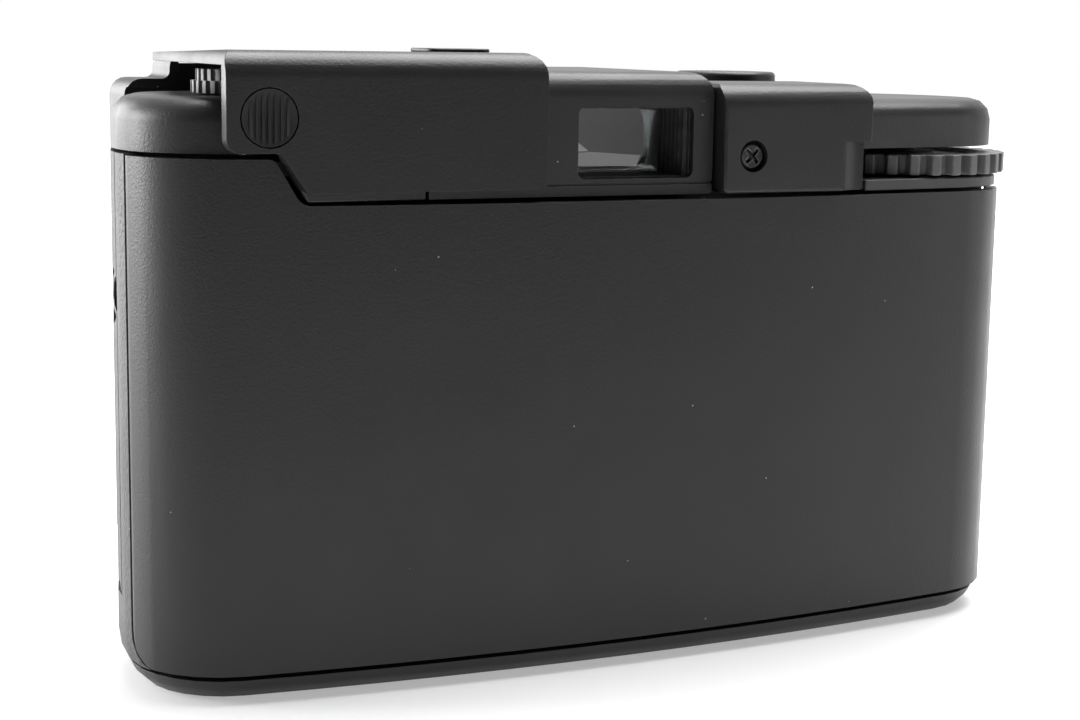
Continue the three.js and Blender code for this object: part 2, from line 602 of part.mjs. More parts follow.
function rewindKnob() {
  const lower = upright(toothed(32, 5.9, 6.2, 0.3, 0.4), [COVER_TOP + 0.2, 60]);
  const upper = upright(toothed(30, 5.4, 5.7, 0.3, 0.4), [59.9, 61.1]);
  const crankSlot = box([-4.9, 4.9], [-1.5, 1.5], [60.3, FAR]);
  return lower.add(upper).subtract(crankSlot).subtract(post(1.85, [0, FAR], 0, 0)).translate([CARTRIDGE.x, CARTRIDGE.y, 0]);
}

function rewindCrank() {
  const bar = upright(rectangle([-4.6, 4.6], [-1.2, 1.2], 1.1), [60.6, 61.05]);
  return bar.add(post(0.8, [60.9, 61.35], 3.3, 0, 16)).translate([CARTRIDGE.x, CARTRIDGE.y, 0]);
}

// The shaft from the knob down into the chamber, ending in a two-pronged fork for the cartridge's spool.
function rewindFork() {
  const shaft = turned([[0, 48.4], [2.1, 48.4], [2.1, 50.8], [1.5, 51], [1.5, 60.2], [0, 60.2]], 0, 0, 24);
  const cross = box([-3, 3], [-0.9, 0.9], [0, 50]);
  return shaft.subtract(cross).translate([CARTRIDGE.x, CARTRIDGE.y, 0]);
}

// ---------------------------------------------------------------- sliding cover

// The rear leg and the top wall: an angle that wraps the camera's back and top.
function slideBridge() {
  const { x, rear, legWall, top, frontTop, under, bottom } = SLIDE;
  const face = outline([
    [x[0], 53.7, 1.3],
    [-38.5, 53.7, 1.2],
    [-35.95, bottom, 0.8],
    [x[1], bottom, 0.5],
    [x[1], top, 2],
    [x[0], top, 1.4],
  ]);
  const side = outline([[rear, 0, 0], [SLIDE_SEAM_Y, 0, 0], [SLIDE_SEAM_Y, frontTop, 0], [rear, top, ROLLED_EDGE]], 6);
  const plan = outline([[x[0], rear - 1, 0], [x[1], rear - 1, 0], [x[1], SLIDE_SEAM_Y, 0], [x[0], SLIDE_SEAM_Y, 4.5]]);
  return frontward(face, [rear, SLIDE_SEAM_Y])
    .intersect(sideward(side, [-FAR, FAR]))
    .intersect(upright(plan, [0, FAR]))
    .subtract(box([-FAR, FAR], [rear + legWall, FAR], [0, under]))
    .subtract(pinForward(THUMB_DISC.r + 0.15, [-FAR, rear + 0.9], THUMB_DISC.x, THUMB_DISC.z));
}

// A dished disc with upright ribs.
function thumbDisc() {
  const face = SLIDE.rear;
  const r = THUMB_DISC.r;
  const dish = [[0, face + 0.3], [1.9, face + 0.2], [r, face + 0.02], [r, face + 0.7], [0, face + 0.7]];
  const ribs = [-1.8, -1.2, -0.6, 0, 0.6, 1.2, 1.8].map((x) => {
    const reach = Math.sqrt(r ** 2 - x ** 2) - 0.35;
    return box([x - 0.14, x + 0.14], [face + 0.06, face + 0.5], [-reach, reach]);
  });
  return ribs.reduce((sum, rib) => sum.add(rib), turnedForward(dish, 0, 0)).translate([THUMB_DISC.x, 0, THUMB_DISC.z]);
}

// A low thumb rib that stands on the sloping top wall.
function slideTopRib() {
  return upright(rectangle([-19.7, -12.8], [-5.5, 0.5], 1), [SLIDE.top - 0.2, SLIDE.top + 0.22]);
}

// The shell that covers the front of the camera: a front wall with a left, a top and a bottom wall.
function slideFrontPlate() {
  const { left, front, wall, bottom, shoulder, stepX, stepWall } = PLATE;
  const right = SLIDE.x[1];
  const face = outline([
    [left, bottom, 4], [right, bottom, 1.6], [right, SLIDE.frontTop, 2],
    [stepX, SLIDE.frontTop, 1.6], [stepX, shoulder, 0.8], [left, shoulder, 1.8],
  ]);
  const hollow = outline([
    [left + wall, bottom + wall, 3], [FAR, bottom + wall, 0], [FAR, SLIDE.under, 0],
    [stepX + stepWall, SLIDE.under, 0], [stepX + stepWall, shoulder - wall, 0], [left + wall, shoulder - wall, 1.5],
  ]);
  const side = outline([[0, 0, 0], [front, 0, 0], [front, SLIDE.frontTop, 4.5], [0, SLIDE.frontTop, 0]], 6);
  return frontward(face, [2 * SLIDE_SEAM_Y - front, front], 1.2, 3)
    .intersect(sideward(side, [-FAR, FAR]))
    .subtract(frontward(hollow, [0, front - wall]))
    .subtract(box([-FAR, FAR], [-FAR, SLIDE_SEAM_Y + GAP], [0, FAR]))
    .subtract(box([-FAR, FAR], [-FAR, FRONT_Y + GAP], [0, COVER_TOP + GAP]));
}

function frontRail() {
  return box([-37, 9], [FRONT_Y + GAP, FRONT_Y + 2], [7.9, 9.3]);
}

// ---------------------------------------------------------------- lens, shutter and controls

function lensBarrel() {
  const profile = [[6.3, 13.7], [8.1, 13.7], [8.1, 17.8], [6.3, 17.8], [6.3, 13.7]];
  return turnedForward(profile, LENS.x, LENS.z, 40);
}

function lensBezel() {
  const profile = [[5.4, 18.1], [8.1, 18.1], [8.1, 18.9], [7.6, 19.4], [6.4, 19.4], [5.4, 18.5], [5.4, 18.1]];
  return turnedForward(profile, LENS.x, LENS.z, 40);
}

// A lens element with a flat rim and two domed faces.
function element(rim, [y0, y1], bulgeFront, bulgeRear, z = LENS.z) {
  const dome = (edge, bulge) => [0.75, 0.5, 0.25].map((share) => [rim * share, edge + bulge * (1 - share ** 2)]);
  const profile = [
    [0, y0 - bulgeRear], ...dome(y0, -bulgeRear).reverse(), [rim, y0], [rim, y1], ...dome(y1, bulgeFront), [0, y1 + bulgeFront],
  ];
  return turnedForward(profile, LENS.x, z, 32);
}

function focusRing() {
  const ring = turnedForward(ringProfile(8.4, 9.2, [15.6, 17.2]), 0, 0, 40);
  const lever = box([-1.3, 1.3], [15.6, 17.2], [-12, -8.8]);
  return ring.add(lever).translate([LENS.x, 0, LENS.z]);
}

function apertureSlider() {
  return box([12.2, 14.8], [FRONT_Y + GAP, 16.7], [20.5, 23.5]).add(box([13.3, 13.7], [13, 16], [21.4, 22.6]));
}

// A round case with a chamber for the two blades and a tube for the rear lens.
function shutterHousing() {
  const profile = [
    [5.3, 5.6], [5.9, 5.6], [5.9, 8.7], [12, 8.7], [12, 13.4], [4, 13.4], [4, 11.9],
    [10.8, 11.9], [10.8, 9.9], [4, 9.9], [4, 8.7], [5.3, 8.7], [5.3, 5.6],
  ];
  return turnedForward(profile, LENS.x, LENS.z, 40);
}

const BLADE_PIVOT = { x: 1.2, z: -8.6 };

// Half a disc with an arm down to its pivot. The mirror copy turns the other way.
function shutterBlade(side, y) {
  const half = [...arcPoints(0, 0, 4.7, 4.7, -1.2, Math.PI / 2, 8), new THREE.Vector2(-0.35, 4.7)];
  const arm = [new THREE.Vector2(-0.35, -9.2), new THREE.Vector2(2.4, -9.2)];
  const blade = frontward(new THREE.Shape([...arm, ...half]), [y, y + 0.3]);
  const bored = blade.subtract(pinForward(0.35, [0, 20], BLADE_PIVOT.x, BLADE_PIVOT.z, 12));
  return (side > 0 ? bored : bored.mirror([1, 0, 0])).translate([LENS.x, 0, LENS.z]);
}

function releaseButton() {
  const profile = [
    [0, 54.6], [1.7, 54.6], [1.7, 59.9], [RELEASE.r, 59.9], [RELEASE.r, RELEASE.top - 0.3],
    [RELEASE.r - 0.3, RELEASE.top], [0, RELEASE.top],
  ];
  return turned(profile, RELEASE.x, RELEASE.y, 36);
}

function circuitBoard() {
  return box([11, 28], [11.2, 12.2], [16, 44]).subtract(box([12.8, 14.2], [0, FAR], [19, 34]));
}

// ---------------------------------------------------------------- viewfinder and rangefinder optics

// A pane inside the viewfinder tunnel, clear of its walls.
function tunnelPane(y, margin = 0.3) {
  const x = [EYEPIECE.x[0] + margin, EYEPIECE.x[1] - margin];
  return frontward(rectangle(x, [EYEPIECE.z[0] + margin, EYEPIECE.z[1] - margin], 0.5), y);
}

// The eyepiece lies deep in the tunnel. A large sphere cuts it from a pane, which leaves a domed rear face.
function eyepieceLens() {
  const centre = (EYEPIECE.x[0] + EYEPIECE.x[1]) / 2;
  const middle = (EYEPIECE.z[0] + EYEPIECE.z[1]) / 2;
  const sphere = solid(new THREE.SphereGeometry(16, 40, 24)).translate([centre, 9.6, middle]);
  return tunnelPane([-6.8, -4.2]).intersect(sphere);
}

function beamSplitter() {
  return box([-3.4, 3.4], [-0.3, 0.3], [51.2, 57.4]).rotate([0, 0, 45]).translate([-0.5, 8, 0]);
}

function rangefinderMirror() {
  return box([-2.3, 2.3], [-0.4, 0.4], [54, 57.2]).rotate([0, 0, 45]).translate([24, 8, 0]);
}

// ---------------------------------------------------------------- the camera

addPiece("base_plate", basePlate(), "shell");
addPiece("battery_cap", batteryCap(), "blackened");
addPiece("button_cell_lower", buttonCell([2.7, 8.1]), "steel");
addPiece("button_cell_upper", buttonCell([8.4, 13.8]), "steel");
addPiece("tripod_bush", tripodBush(), "steel");
addPiece("rewind_release_button", rewindReleaseButton(), "steel");
addPiece("body_casting", bodyCasting(), "shell");
addPiece("front_shell", frontShell(), "shell");
addPiece("strap_lug", strapLug(), "blackened");
addPiece("chassis_floor", chassisFloor(), "frame");
addPiece("chassis_ceiling", chassisCeiling(), "frame");
addPiece("chamber_ceiling", chamberCeiling(), "frame");
addPiece("cartridge_chamber", cartridgeChamber(), "frame");
addPiece("take_up_chamber", takeUpChamber(), "frame");
addPiece("film_gate", filmGate(), "frame");
addPiece("light_tunnel", lightTunnel(), "frame");
addPiece("circuit_board", circuitBoard(), "board");

addPiece("back_door", backDoor(), "shell");
addPiece("pressure_plate", pressurePlate(), "blackened");
addPiece("pressure_spring", pressureSpring(), "steel");
addPiece("door_seal", doorSeal(), "rubber");
addPiece("hinge_pin", post(HINGE.pin, [3.4, 48], HINGE.x, HINGE.y), "steel");

addPiece("top_cover", topCover(), "shell");
addPiece("viewfinder_housing", viewfinderHousing(), "shell");
addPiece("rear_fascia", rearFascia(), "shell");
addPiece("end_block", endBlock(), "shell");
addPiece("block_screw", blockScrew(), "blackened");
addPiece("lower_deck", lowerDeck(), "shell");
addPiece("counter_window", counterWindow(), "glass");
addPiece("counter_dial", counterDial(), "frame");

addPiece("thumb_wheel", thumbWheel(), "shell");
addPiece("take_up_spool", takeUpSpool(), "frame");
addPiece("spool_gear", gear(SPOOL_TEETH, SPOOL, IDLER, false, SPOOL.shaft + 0.25), "brass");
addPiece("idler_gear", idlerGear(), "brass");
addPiece("sprocket_gear", sprocketGear(), "brass");
addPiece("film_sprocket", filmSprocket(), "frame");
addPiece("rewind_knob", rewindKnob(), "blackened");
addPiece("rewind_crank", rewindCrank(), "blackened");
addPiece("rewind_fork", rewindFork(), "steel");

addPiece("slide_bridge", slideBridge(), "shell");
addPiece("slide_front_plate", slideFrontPlate(), "shell");
addPiece("slide_thumb_disc", thumbDisc(), "shell");
addPiece("slide_top_rib", slideTopRib(), "shell");
addPiece("front_rail", frontRail(), "shell");

addPiece("lens_barrel", lensBarrel(), "blackened");
addPiece("lens_bezel", lensBezel(), "blackened");
addPiece("front_lens", element(6, [15.4, 16.8], 1, 0.2), "glass");
addPiece("rear_lens", element(5, [6.4, 7.6], 0.3, 0.7), "glass");
addPiece("focus_ring", focusRing(), "blackened");
addPiece("aperture_slider", apertureSlider(), "blackened");
addPiece("shutter_housing", shutterHousing(), "frame");
addPiece("shutter_blade_right", shutterBlade(1, 10.3), "steel");
addPiece("shutter_blade_left", shutterBlade(-1, 11.1), "steel");
addPiece("release_button", releaseButton(), "blackened");

addPiece("eyepiece_lens", eyepieceLens(), "glass");
addPiece("viewfinder_objective", tunnelPane([12, 12.8]), "glass");
addPiece("beam_splitter", beamSplitter(), "mirror");
addPiece("rangefinder_mirror", rangefinderMirror(), "mirror");
addPiece("rangefinder_window", frontward(rectangle([21.3, 26.7], [54.7, 57.1], 0.4), [13.9, 14.7]), "glass");
addPiece("meter_window", pinForward(1.6, [13.9, 14.9], 14.5, 56), "glass");

export default camera;
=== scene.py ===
import math

import bmesh
import bpy
from mathutils import Matrix, Vector


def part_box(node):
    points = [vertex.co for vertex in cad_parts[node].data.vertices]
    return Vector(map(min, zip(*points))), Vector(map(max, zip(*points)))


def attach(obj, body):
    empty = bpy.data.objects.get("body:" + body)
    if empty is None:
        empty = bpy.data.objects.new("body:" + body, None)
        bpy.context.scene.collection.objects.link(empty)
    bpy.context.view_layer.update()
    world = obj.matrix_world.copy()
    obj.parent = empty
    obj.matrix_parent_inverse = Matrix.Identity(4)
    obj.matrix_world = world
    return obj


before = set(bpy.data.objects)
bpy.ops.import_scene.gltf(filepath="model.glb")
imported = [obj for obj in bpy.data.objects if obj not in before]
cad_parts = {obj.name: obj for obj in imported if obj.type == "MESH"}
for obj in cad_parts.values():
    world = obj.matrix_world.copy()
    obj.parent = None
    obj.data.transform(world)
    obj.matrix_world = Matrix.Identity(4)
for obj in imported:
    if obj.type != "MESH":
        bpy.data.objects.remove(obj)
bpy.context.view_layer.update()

MM = 0.001

# The photograph's viewpoint, in the camera body's own frame.
EYE_MM = (-95.85, -195.72, 64.77)
LENS_MM = 67.27
SENSOR_MM = 36.0
YAW = math.radians(25.05)
PITCH = math.radians(9.11)
ROLL = math.radians(0.89)


# ---------------------------------------------------------------- materials

class Surface:
    """A material whose colour, roughness and bump come from patterns in the object's own coordinates."""

    def __init__(self, name, color, roughness, metallic=0.0, **sockets):
        self.material = bpy.data.materials.new(name)
        self.material.use_nodes = True
        self.tree = self.material.node_tree
        self.shader = self.tree.nodes["Principled BSDF"]
        self.shader.inputs["Base Color"].default_value = (*color, 1.0)
        self.shader.inputs["Roughness"].default_value = roughness
        self.shader.inputs["Metallic"].default_value = metallic
        for socket, value in sockets.items():
            self.shader.inputs[socket.replace("_", " ")].default_value = value
        self.place = self.node("ShaderNodeTexCoord").outputs["Object"]
        self.color = None

    def node(self, kind, **inputs):
        """A new node. An input's name is its socket's, with _ for each space."""
        made = self.tree.nodes.new(kind)
        for socket, value in inputs.items():
            self.feed(made.inputs[socket.replace("_", " ")], value)
        return made

    def feed(self, socket, value):
        """Links a socket to another node's output, or sets it to a number or a colour."""
        if isinstance(value, bpy.types.NodeSocket):
            self.tree.links.new(value, socket)
        else:
            socket.default_value = value

    def stretched(self, scale):
        """The object's coordinates, scaled differently along each axis."""
        return self.node("ShaderNodeMapping", Vector=self.place, Scale=scale).outputs["Vector"]

    def noise(self, size_mm, detail=3.0, place=None):
        """Noise whose blotches are about this many millimetres across."""
        scale = 1.0 / (size_mm * MM)
        node = self.node("ShaderNodeTexNoise", Vector=place or self.place, Scale=scale, Detail=detail)
        return node.outputs["Fac"]

    def cells(self, size_mm, feature="F1"):
        """How far each point is from the middle, or the edge, of its cell."""
        node = self.node("ShaderNodeTexVoronoi", Vector=self.place, Scale=1.0 / (size_mm * MM))
        node.feature = feature
        return node.outputs["Distance"]

    def between(self, value, low, high, to_low=0.0, to_high=1.0):
        """Maps a value's low..high to to_low..to_high, and stops at both ends."""
        ends = dict(From_Min=low, From_Max=high, To_Min=to_low, To_Max=to_high)
        return self.node("ShaderNodeMapRange", Value=value, **ends).outputs["Result"]

    def blotches(self, size_mm, low, high, strength=1.0, detail=3.0):
        """Patches of noise: nothing where the noise is under low, and full strength where it is over high."""
        return self.between(self.noise(size_mm, detail), low, high, 0.0, strength)

    def combined(self, operation, first, second):
        node = self.node("ShaderNodeMath")
        node.operation = operation
        self.feed(node.inputs[0], first)
        self.feed(node.inputs[1], second)
        return node.outputs["Value"]

    def tint(self, amount, color):
        """Mixes another colour over what is there, by a pattern."""
        node = self.node("ShaderNodeMix")
        node.data_type = "RGBA"
        self.feed(node.inputs["Factor"], amount)
        below, above = [socket for socket in node.inputs if socket.type == "RGBA"]
        self.feed(below, self.color or self.shader.inputs["Base Color"].default_value[:])
        self.feed(above, (*color, 1.0))
        self.color = next(socket for socket in node.outputs if socket.type == "RGBA")
        self.tree.links.new(self.color, self.shader.inputs["Base Color"])

    def polish(self, pattern, low, high):
        """Roughness goes from low to high as a pattern goes from 0 to 1."""
        roughness = self.between(pattern, 0.0, 1.0, low, high)
        self.tree.links.new(roughness, self.shader.inputs["Roughness"])

    def bump(self, height, depth_mm):
        node = self.node("ShaderNodeBump", Height=height, Distance=depth_mm * MM)
        self.tree.links.new(node.outputs["Normal"], self.shader.inputs["Normal"])

    def edges(self, radius_mm):
        """1 near a sharp edge and 0 on flat ground."""
        soft = self.node("ShaderNodeBevel", Radius=radius_mm * MM)
        soft.samples = 4
        flat = self.node("ShaderNodeNewGeometry").outputs["Normal"]
        likeness = self.node("ShaderNodeVectorMath")
        likeness.operation = "DOT_PRODUCT"
        self.feed(likeness.inputs[0], soft.outputs["Normal"])
        self.feed(likeness.inputs[1], flat)
        on_flat_ground, on_an_edge = 0.995, 0.9
        return self.between(likeness.outputs["Value"], on_flat_ground, on_an_edge)

    def wear(self, radius_mm, color, patch_mm=1.2, low=0.45, high=0.75):
        """Rubs another colour through along the edges, in patches."""
        patches = self.blotches(patch_mm, low, high, detail=4.0)
        self.tint(self.combined("MULTIPLY", self.edges(radius_mm), patches), color)

    def dust(self):
        """A few small pale specks, each in the middle of a cell."""
        cell_mm, speck_rim, speck_core = 3.4, 0.03, 0.018
        self.tint(self.between(self.cells(cell_mm), speck_rim, speck_core), (0.3, 0.29, 0.27))


def moulded_plastic(name, tone, roughness, grain_mm, grain_depth_mm):
    """Black moulded plastic with a fine pebbled skin, dusty and worn a little on its edges."""
    surface = Surface(name, (tone, tone, tone * 1.03), roughness, Specular_IOR_Level=0.36)
    faded = (tone * 1.35,) * 3
    rubbed = (tone * 3.2,) * 3
    surface.tint(surface.blotches(14.0, 0.35, 0.7, strength=0.5, detail=2.0), faded)
    surface.wear(0.22, rubbed)
    surface.dust()
    surface.polish(surface.noise(6.0, detail=4.0), roughness - 0.07, roughness + 0.09)
    pebbles = surface.cells(grain_mm, "SMOOTH_F1")
    fine = surface.combined("MULTIPLY", surface.noise(grain_mm * 0.8, detail=2.0), 0.6)
    surface.bump(surface.combined("ADD", pebbles, fine), grain_depth_mm)
    return surface.material


def inner_black():
    """Flat black paint inside the light tunnel and the film chambers."""
    surface = Surface("inner_black", (0.012, 0.012, 0.013), 0.75)
    surface.tint(surface.blotches(3.0, 0.4, 0.7, strength=0.6, detail=4.0), (0.022, 0.021, 0.02))
    surface.wear(0.2, (0.09, 0.085, 0.08))
    surface.polish(surface.noise(2.0), 0.62, 0.85)
    surface.bump(surface.noise(0.25, detail=2.0), 0.015)
    return surface.material


def brushed_metal(name, color, roughness, stretch):
    """Metal drawn or brushed along one axis, with faint stains."""
    surface = Surface(name, color, roughness, metallic=1.0)
    surface.tint(surface.blotches(2.5, 0.5, 0.8, strength=0.35, detail=5.0), (0.2, 0.19, 0.18))
    lines = surface.noise(0.12, detail=4.0, place=surface.stretched(stretch))
    surface.polish(lines, roughness - 0.1, roughness + 0.18)
    surface.bump(lines, 0.008)
    return surface.material


def blackened_metal():
    """Blackened steel whose edges show bright."""
    surface = Surface("blackened_metal", (0.03, 0.03, 0.032), 0.38, metallic=0.85)
    surface.tint(surface.blotches(1.5, 0.45, 0.75, strength=0.5, detail=5.0), (0.07, 0.065, 0.06))
    surface.wear(0.14, (0.5, 0.49, 0.47), patch_mm=0.5, low=0.35, high=0.6)
    surface.polish(surface.noise(0.6), 0.28, 0.5)
    surface.bump(surface.noise(0.2), 0.01)
    return surface.material


def foam():
    """Soft black foam with open pores."""
    surface = Surface("foam", (0.015, 0.015, 0.015), 0.95, Sheen_Weight=0.3)
    surface.tint(surface.noise(0.5), (0.035, 0.034, 0.032))
    surface.bump(surface.cells(0.35), 0.12)
    return surface.material


def coated_glass(name, color, bending=1.5):
    """Clear glass with a violet coating and a few finger marks. Bending is its refractive index."""
    clean, smeared = 0.02, 0.06
    surface = Surface(name, color, clean, Transmission_Weight=1.0, IOR=bending, Coat_Weight=0.05,
                      Specular_IOR_Level=0.2, Specular_Tint=(0.82, 0.78, 1.0, 1.0))
    surface.polish(surface.blotches(2.2, 0.45, 0.8, detail=4.0), clean, smeared)
    surface.bump(surface.noise(5.0, detail=1.0), 0.004)
    return surface.material


def silvered():
    """A silvered mirror with a few tarnished spots."""
    surface = Surface("silvered", (0.82, 0.84, 0.85), 0.05, metallic=1.0)
    surface.tint(surface.blotches(1.4, 0.6, 0.8, strength=0.4, detail=4.0), (0.5, 0.47, 0.4))
    surface.polish(surface.noise(0.9), 0.02, 0.12)
    return surface.material


def circuit_green():
    """Solder mask over copper tracks."""
    surface = Surface("circuit_green", (0.02, 0.11, 0.05), 0.35, Coat_Weight=0.4)
    tracks = surface.between(surface.cells(1.6, "DISTANCE_TO_EDGE"), 0.10, 0.06)
    surface.tint(tracks, (0.06, 0.24, 0.1))
    surface.polish(surface.noise(1.0), 0.25, 0.45)
    surface.bump(tracks, 0.03)
    return surface.material


def painted_finder_glow(name, tone):
    """A pane that glows with painted light, standing in for the dim light that comes through the finder from
    the front.
    """
    surface = Surface(name, (tone, tone * 0.97, tone * 0.98), 0.5,
                      Emission_Strength=tone, Emission_Color=(1.0, 0.97, 0.98, 1.0))
    # Darker patches painted into the glowing pane's colour.
    surface.tint(surface.blotches(2.5, 0.4, 0.7, strength=0.4), (tone * 0.7,) * 3)
    surface.polish(surface.noise(2.0), 0.4, 0.6)
    return surface.material


def painted_marks():
    """White paint, a little rubbed."""
    surface = Surface("painted_marks", (0.72, 0.71, 0.68), 0.5)
    surface.tint(surface.blotches(0.3, 0.55, 0.75), (0.42, 0.41, 0.39))
    surface.bump(surface.noise(0.15), 0.01)
    return surface.material


def studio_floor():
    """A white floor that glows beyond the camera body, with painted shade where its glow fades out towards
    the photographer.
    """
    surface = Surface("studio_floor", (0.6, 0.6, 0.6), 0.6, Emission_Color=(1.0, 1.0, 1.0, 1.0))
    forward = surface.node("ShaderNodeSeparateXYZ", Vector=surface.place).outputs["Y"]
    # Where the glow falls to nothing, towards the photographer, the floor carries painted shade.
    fade_from, fade_to, full_glow = -0.2, 0.1, 0.6
    glow = surface.between(forward, fade_from, fade_to, 0.0, full_glow)
    surface.tree.links.new(glow, surface.shader.inputs["Emission Strength"])
    surface.polish(surface.noise(40.0), 0.55, 0.7)
    return surface.material


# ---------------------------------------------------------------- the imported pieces

# Each black plastic: its tone and roughness, the size and depth of its grain, and the nodes made of it.
GRAINED = {
    "door_plastic": (
        dict(tone=0.008, roughness=0.34, grain_mm=0.24, grain_depth_mm=0.013),
        ["back_door"]),
    "side_plastic": (
        dict(tone=0.030, roughness=0.50, grain_mm=0.45, grain_depth_mm=0.07),
        ["body_casting"]),
    "front_plastic": (
        dict(tone=0.014, roughness=0.48, grain_mm=0.45, grain_depth_mm=0.07),
        ["front_shell"]),
    "cover_plastic": (
        dict(tone=0.007, roughness=0.41, grain_mm=0.26, grain_depth_mm=0.016),
        ["slide_bridge", "slide_front_plate", "slide_top_rib"]),
    "top_plastic": (
        dict(tone=0.012, roughness=0.40, grain_mm=0.25, grain_depth_mm=0.015),
        ["top_cover", "viewfinder_housing", "end_block", "rear_fascia"]),
    "wheel_plastic": (
        dict(tone=0.09, roughness=0.42, grain_mm=0.5, grain_depth_mm=0.01),
        ["thumb_wheel", "rewind_knob"]),
    "deck_plastic": (
        dict(tone=0.035, roughness=0.42, grain_mm=0.5, grain_depth_mm=0.01),
        ["lower_deck"]),
    "smooth_plastic": (
        dict(tone=0.010, roughness=0.42, grain_mm=0.6, grain_depth_mm=0.006),
        ["base_plate", "release_button", "lens_bezel", "focus_ring", "aperture_slider", "battery_cap",
         "rewind_release_button", "front_rail"]),
    "disc_plastic": (
        dict(tone=0.004, roughness=0.5, grain_mm=0.3, grain_depth_mm=0.004),
        ["slide_thumb_disc"]),
}
INNER_BLACK = ["chassis_floor", "chassis_ceiling", "chamber_ceiling", "cartridge_chamber", "take_up_chamber",
               "film_gate", "light_tunnel", "take_up_spool", "spool_gear", "idler_gear", "sprocket_gear",
               "film_sprocket", "shutter_housing", "lens_barrel", "counter_dial"]
BLACKENED = ["block_screw", "strap_lug", "shutter_blade_right", "shutter_blade_left", "rewind_crank",
             "pressure_plate"]
STEEL = ["pressure_spring", "hinge_pin", "rewind_fork", "button_cell_lower", "button_cell_upper"]
GLASS = ["counter_window", "front_lens", "rear_lens", "viewfinder_objective",
         "beam_splitter", "rangefinder_window", "meter_window"]

# How wide each piece's edges are rounded, where it isn't the usual width.
EDGE_MM = 0.15
EDGES_MM = {
    "back_door": 0.5, "slide_bridge": 0.35, "slide_front_plate": 0.3, "viewfinder_housing": 0.3,
    "end_block": 0.25, "thumb_wheel": 0.16, "top_cover": 0.2, "base_plate": 0.2,
    "rewind_knob": 0.09, "film_sprocket": 0.08, "block_screw": 0.06, "slide_thumb_disc": 0.07,
    "spool_gear": 0.06, "idler_gear": 0.06, "sprocket_gear": 0.06, "pressure_spring": 0.05,
    "shutter_blade_right": 0.03, "shutter_blade_left": 0.03, "hinge_pin": 0.08,
}


# How soften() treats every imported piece.
SAME_POINT_MM = 0.002
SAME_FACE = math.radians(0.6)
SHARP_EDGE = math.radians(32)
EDGE_STEPS = 3
FLAT_FACE_WEIGHT = 80


def soften(piece, width_mm):
    """Joins the facets of each flat or curved face and rounds the sharp edges between faces."""
    custom = piece.data.attributes.get("custom_normal")
    if custom is not None:
        piece.data.attributes.remove(custom)
    piece.data.polygons.foreach_set("use_smooth", [True] * len(piece.data.polygons))
    weld = piece.modifiers.new("weld", "WELD")
    weld.merge_threshold = SAME_POINT_MM * MM
    flat = piece.modifiers.new("flat_faces", "DECIMATE")
    flat.decimate_type = "DISSOLVE"
    flat.angle_limit = SAME_FACE
    rounding = piece.modifiers.new("rounded_edges", "BEVEL")
    rounding.width = width_mm * MM
    rounding.segments = EDGE_STEPS
    rounding.limit_method = "ANGLE"
    rounding.angle_limit = SHARP_EDGE
    rounding.use_clamp_overlap = True
    shading = piece.modifiers.new("face_shading", "WEIGHTED_NORMAL")
    shading.weight = FLAT_FACE_WEIGHT
    shading.keep_sharp = False


def dress(names, material):
    """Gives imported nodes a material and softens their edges."""
    for name in names:
        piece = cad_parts[name]
        piece.data.materials.clear()
        piece.data.materials.append(material)
        soften(piece, EDGES_MM.get(name, EDGE_MM))


def dress_packed_pieces():
    for name, (numbers, nodes) in GRAINED.items():
        dress(nodes, moulded_plastic(name, **numbers))
    dress(INNER_BLACK, inner_black())
    dress(BLACKENED, blackened_metal())
    dress(STEEL, brushed_metal("bright_steel", (0.6, 0.6, 0.59), 0.3, stretch=(1.0, 1.0, 8.0)))
    dress(["tripod_bush"], brushed_metal("turned_brass", (0.62, 0.44, 0.18), 0.32, stretch=(1.0, 1.0, 6.0)))
    dress(["door_seal"], foam())
    dress(GLASS, coated_glass("coated_glass", (0.86, 0.9, 0.92)))
    dress(["eyepiece_lens"], coated_glass("eyepiece_glass", (0.9, 0.9, 0.9), bending=1.02))
    dress(["rangefinder_mirror"], silvered())
    dress(["circuit_board"], circuit_green())


# ---------------------------------------------------------------- added detail

def box_mm(node):
    """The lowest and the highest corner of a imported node, in millimetres."""
    low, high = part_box(node)
    return low / MM, high / MM


def piece_from(name, vertices, faces, material, body):
    """A mesh piece that rides on a body and takes a slot's finish."""
    mesh = bpy.data.meshes.new(name)
    mesh.from_pydata(vertices, [], faces)
    form = bmesh.new()
    form.from_mesh(mesh)
    bmesh.ops.recalc_face_normals(form, faces=form.faces)
    form.to_mesh(mesh)
    form.free()
    mesh.materials.append(material)
    piece = bpy.data.objects.new(name, mesh)
    bpy.context.scene.collection.objects.link(piece)
    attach(piece, body)


def prism(outline, start, along):
    """Vertices in metres and faces of an outline in millimetres, swept by one vector.

    Start is the number that the first vertex has in its mesh.
    """
    near = [Vector(point) * MM for point in outline]
    far = [point + Vector(along) * MM for point in near]
    count = len(near)
    near_face = tuple(range(start, start + count))
    far_face = tuple(range(start + 2 * count - 1, start + count - 1, -1))
    faces = [near_face, far_face]
    for i in range(count):
        after = (i + 1) % count
        faces.append((start + i, start + after, start + count + after, start + count + i))
    return near + far, faces


def prisms(outlines, along, start=0):
    """Several prisms in one mesh, whose first vertex has the number start."""
    vertices, faces = [], []
    for outline in outlines:
        more, sides = prism(outline, start + len(vertices), along)
        vertices += more
        faces += sides
    return vertices, faces


def upright(outline, y):
    """An outline of x and z, stood upright at one y."""
    return [(x, y, z) for x, z in outline]


def rectangle(x, z):
    """The corners of a rectangle from x[0] to x[1] and from z[0] to z[1]."""
    return [(x[0], z[0]), (x[1], z[0]), (x[1], z[1]), (x[0], z[1])]
